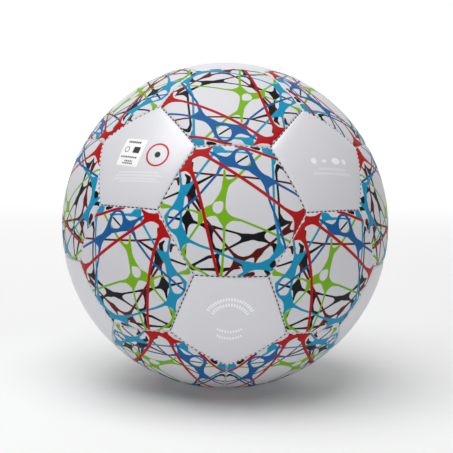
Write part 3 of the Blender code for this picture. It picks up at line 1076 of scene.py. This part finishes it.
patch = dome(PATCH_TOP, VALVE_HOLE_RADIUS, PATCH_RADIUS, 6)
patch += dome(PATCH_TOP - PATCH_THICKNESS, PATCH_RADIUS, VALVE_HOLE_RADIUS, 6)
rubber_blacks = ((0.010, 0.010, 0.011, 1), (0.030, 0.030, 0.033, 1))
turned_pieces = [
    ("turned_bladder", bladder_outline(), "ball", "bladder_rubber", "bladder"),
    ("turned_patch", softened(patch, 0.15 * MILLIMETRE), "ball", "patch_cloth", "valve_patch"),
    ("turned_housing", valve_outline(), "ball", "valve_rubber", "valve_housing"),
    ("turned_core", core_outline(), "plug", "core_rubber", "valve_core"),
]
finishes = {
    "bladder_rubber": rubber_finish("bladder_rubber", *rubber_blacks, 0.55, 60.0),
    "patch_cloth": cloth_finish(),
    "valve_rubber": rubber_finish("valve_rubber", *rubber_blacks, 0.50, 240.0),
    "core_rubber": rubber_finish("core_rubber", *rubber_blacks, 0.42, 300.0),
}
for name, points, body, slot, node in turned_pieces:
    piece = make_piece(name, turned(points), finishes[slot], body, slot, node)
    print(f"{name}: {len(piece.data.polygons)} faces")

# %% [markdown]
# ## The studio
#
# A pale sweep, floor and backdrop in one, which glows towards the back. Two broad soft lamps, one
# overhead that makes the top bright and a weak one in front, stand in an even pale world. The camera
# stands a little above the ball's middle, aims close to its centre and is about 0.75 m away.

# %% The sweep
SWEEP_WIDTH = 6.0
SWEEP_FRONT = -2.5
SWEEP_BACK = 3.0
SWEEP_HEIGHT = 3.0
SWEEP_ROUNDING = 1.2
SWEEP_ROUNDING_STEPS = 12
PAPER_WHITE = (0.84, 0.84, 0.84, 1)
GLOW_NEAR = (0.10, 0.10, 0.10, 1)
GLOW_FAR = (1, 1, 1, 1)
GLOW_STRENGTH = 0.55


def sweep_finish():
    """Pale paper, which glows towards the back as if lamps stood behind it."""
    material, start = new_shader("studio_sweep")
    place = start.node("TexCoord", {}, {}, 3)
    backward = start.node("SeparateXYZ", {}, {0: place}, 1)
    glow = (backward * 0.6 - 0.1).clamped()
    colour = start.node("Mix", {"data_type": "RGBA"}, {0: glow, 6: GLOW_NEAR, 7: GLOW_FAR}, 2)
    finish_shader(
        start,
        Base_Color=PAPER_WHITE,
        Roughness=0.9,
        Emission_Color=colour,
        Emission_Strength=GLOW_STRENGTH,
    )
    return material


def make_sweep():
    shape = bmesh.new()
    floor = -BALL_RADIUS
    path = [(SWEEP_FRONT, floor), (SWEEP_BACK - SWEEP_ROUNDING, floor)]
    for step in range(1, SWEEP_ROUNDING_STEPS + 1):
        turn = math.pi / 2 * step / SWEEP_ROUNDING_STEPS
        back = SWEEP_BACK - SWEEP_ROUNDING * (1 - math.sin(turn))
        path.append((back, floor + SWEEP_ROUNDING * (1 - math.cos(turn))))
    path.append((SWEEP_BACK, floor + SWEEP_HEIGHT))
    corners = [shape.verts.new((-SWEEP_WIDTH / 2, y, z)) for y, z in path]
    edges = [shape.edges.new(pair) for pair in zip(corners, corners[1:])]
    made = bmesh.ops.extrude_edge_only(shape, edges=edges)["geom"]
    moved = [item for item in made if isinstance(item, bmesh.types.BMVert)]
    bmesh.ops.translate(shape, verts=moved, vec=(SWEEP_WIDTH, 0, 0))
    mesh = bpy.data.meshes.new("studio_sweep")
    shape.to_mesh(mesh)
    shape.free()
    mesh.materials.append(sweep_finish())
    mesh.shade_smooth()
    sweep = bpy.data.objects.new("studio_sweep", mesh)
    bpy.context.scene.collection.objects.link(sweep)


make_sweep()

# %% The lights
def add_light(name, place, size, power):
    """A square soft light that faces the ball's centre."""
    lamp = bpy.data.lights.new(name, "AREA")
    lamp.shape = "SQUARE"
    lamp.size = size
    lamp.energy = power
    light = bpy.data.objects.new(name, lamp)
    light.location = place
    light.rotation_euler = Vector(place).to_track_quat("Z", "Y").to_euler()
    bpy.context.scene.collection.objects.link(light)


WORLD_STRENGTH = 0.27
add_light("overhead_light", (-0.28, -0.45, 1.48), 1.6, 26.0)
add_light("front_light", (0.3, -2.2, 0.7), 1.4, 2.0)
world = bpy.data.worlds.new("pale_room")
world.use_nodes = True
world.node_tree.nodes["Background"].inputs["Color"].default_value = (1, 1, 1, 1)
world.node_tree.nodes["Background"].inputs["Strength"].default_value = WORLD_STRENGTH
bpy.context.scene.world = world
bpy.context.scene.view_settings.view_transform = "Standard"

# %% The camera
CAMERA_TURN = math.radians(-2.3)
CAMERA_RISE = math.radians(5.9)
CAMERA_ROLL = math.radians(1.3)
CAMERA_DISTANCE = 6.8 * BALL_RADIUS
OUTLINE_SHARE = 0.3600
AIM_SIDEWAYS = 0.9 * MILLIMETRE
AIM_DOWN = 0.6 * MILLIMETRE


def add_camera():
    lens = bpy.data.cameras.new("camera")
    lens.sensor_width = 36.0
    lens.lens = lens.sensor_width * OUTLINE_SHARE * math.sqrt((CAMERA_DISTANCE / BALL_RADIUS) ** 2 - 1)
    lens.clip_start = 0.01
    lens.dof.use_dof = False
    place = CAMERA_DISTANCE * Vector(
        (
            math.cos(CAMERA_RISE) * math.sin(CAMERA_TURN),
            -math.cos(CAMERA_RISE) * math.cos(CAMERA_TURN),
            math.sin(CAMERA_RISE),
        )
    )
    right = (-place).cross(Vector((0, 0, 1))).normalized()
    up = right.cross(-place).normalized()
    aim = right * AIM_SIDEWAYS - up * AIM_DOWN
    camera = bpy.data.objects.new("camera", lens)
    looking = (place - aim).to_track_quat("Z", "Y").to_matrix().to_4x4()
    camera.matrix_world = Matrix.Translation(place) @ looking @ Matrix.Rotation(CAMERA_ROLL, 4, "Z")
    bpy.context.scene.collection.objects.link(camera)
    bpy.context.scene.camera = camera
    print(f"camera {CAMERA_DISTANCE:.2f} m away, lens {lens.lens:.0f} mm")


add_camera()
